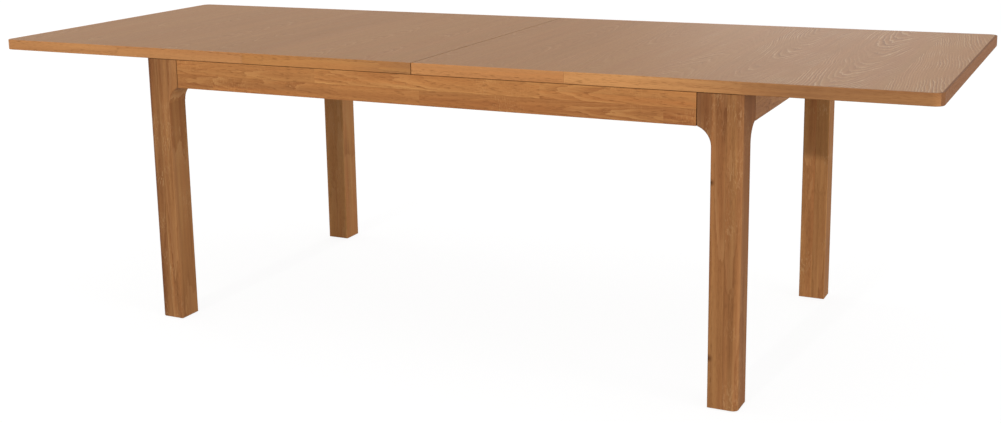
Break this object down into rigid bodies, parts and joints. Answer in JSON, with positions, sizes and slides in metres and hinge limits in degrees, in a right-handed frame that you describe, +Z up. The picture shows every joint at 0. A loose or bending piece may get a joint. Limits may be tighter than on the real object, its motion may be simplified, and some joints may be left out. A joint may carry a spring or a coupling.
{
  "type": "extension dining table",
  "caption": "Rectangular oak dining table, shown drawn out: half-tops on wooden slides over a fixed four-legged frame, with loose leaves between them.",
  "frame": {"origin": "on the floor under the middle of the drawn-out top", "axes": "+X along the table, +Y towards its back long side, +Z up"},
  "size_m": [2.5632, 0.94, 0.76],
  "materials": {
    "top_veneer": "oak veneer laid across the table, satin lacquer",
    "edge_oak": "solid finger-jointed oak lipping, satin lacquer",
    "apron_oak": "solid oak, satin lacquer",
    "leg_oak": "solid oak glued from staves, satin lacquer",
    "beech": "plain beech, waxed",
    "zinc_steel": "zinc-plated steel",
    "glide_plastic": "brown nylon glide"
  },
  "bodies": {
    "frame": {"leg_front_left": "leg_oak", "leg_front_right": "leg_oak", "leg_back_left": "leg_oak", "leg_back_right": "leg_oak", "apron_front": "apron_oak", "apron_back": "apron_oak", "apron_left": "apron_oak", "apron_right": "apron_oak", "cross_rail_left": "beech", "cross_rail_right": "beech", "guide_rail_front": "beech", "guide_rail_back": "beech", "guide_screws": "zinc_steel", "corner_brackets": "zinc_steel", "bracket_screws": "zinc_steel", "hanger_bolts": "zinc_steel", "bolt_washers": "zinc_steel", "bolt_nuts": "zinc_steel", "floor_glides": "glide_plastic"},
    "left_half": {"half_top_left": "top_veneer", "half_lipping_left": "edge_oak", "runner_left_front": "beech", "runner_left_back": "beech", "runner_screws_left": "zinc_steel", "runner_stops_left": "beech", "hook_pivots_left": "zinc_steel"},
    "right_half": {"half_top_right": "top_veneer", "half_lipping_right": "edge_oak", "runner_right_front": "beech", "runner_right_back": "beech", "runner_screws_right": "zinc_steel", "runner_stops_right": "beech", "hook_pivots_right": "zinc_steel"},
    "wide_leaf": {"leaf_wide_top": "top_veneer", "leaf_wide_lippings": "edge_oak", "leaf_wide_pegs": "beech", "leaf_wide_studs": "zinc_steel"},
    "narrow_leaf": {"leaf_narrow_top": "top_veneer", "leaf_narrow_lippings": "edge_oak", "leaf_narrow_pegs": "beech", "leaf_narrow_studs": "zinc_steel"},
    "hook_left_front": {"leaf_hook_left_front": "zinc_steel"},
    "hook_left_back": {"leaf_hook_left_back": "zinc_steel"},
    "hook_right_front": {"leaf_hook_right_front": "zinc_steel"},
    "hook_right_back": {"leaf_hook_right_back": "zinc_steel"}
  },
  "joints": [
    {"name": "left_half_slide", "type": "slide", "parent": "frame", "child": "left_half", "axis": [-1, 0, 0], "range_m": [0, 0.058]},
    {"name": "right_half_slide", "type": "slide", "parent": "frame", "child": "right_half", "axis": [1, 0, 0], "range_m": [0, 0.058]},
    {"name": "wide_leaf_lift", "type": "slide", "parent": "left_half", "child": "wide_leaf", "axis": [0, 0, 1], "range_m": [0, 0.3]},
    {"name": "narrow_leaf_lift", "type": "slide", "parent": "right_half", "child": "narrow_leaf", "axis": [0, 0, 1], "range_m": [0, 0.3]},
    {"name": "hook_left_front_turn", "type": "hinge", "parent": "left_half", "child": "hook_left_front", "pos_m": [-0.4716, -0.36, 0.7263], "axis": [0, 0, 1], "range_deg": [0, 100]},
    {"name": "hook_left_back_turn", "type": "hinge", "parent": "left_half", "child": "hook_left_back", "pos_m": [-0.4716, 0.36, 0.7263], "axis": [0, 0, -1], "range_deg": [0, 100]},
    {"name": "hook_right_front_turn", "type": "hinge", "parent": "right_half", "child": "hook_right_front", "pos_m": [0.4716, -0.36, 0.7263], "axis": [0, 0, -1], "range_deg": [0, 100]},
    {"name": "hook_right_back_turn", "type": "hinge", "parent": "right_half", "child": "hook_right_back", "pos_m": [0.4716, 0.36, 0.7263], "axis": [0, 0, 1], "range_deg": [0, 100]}
  ]
}
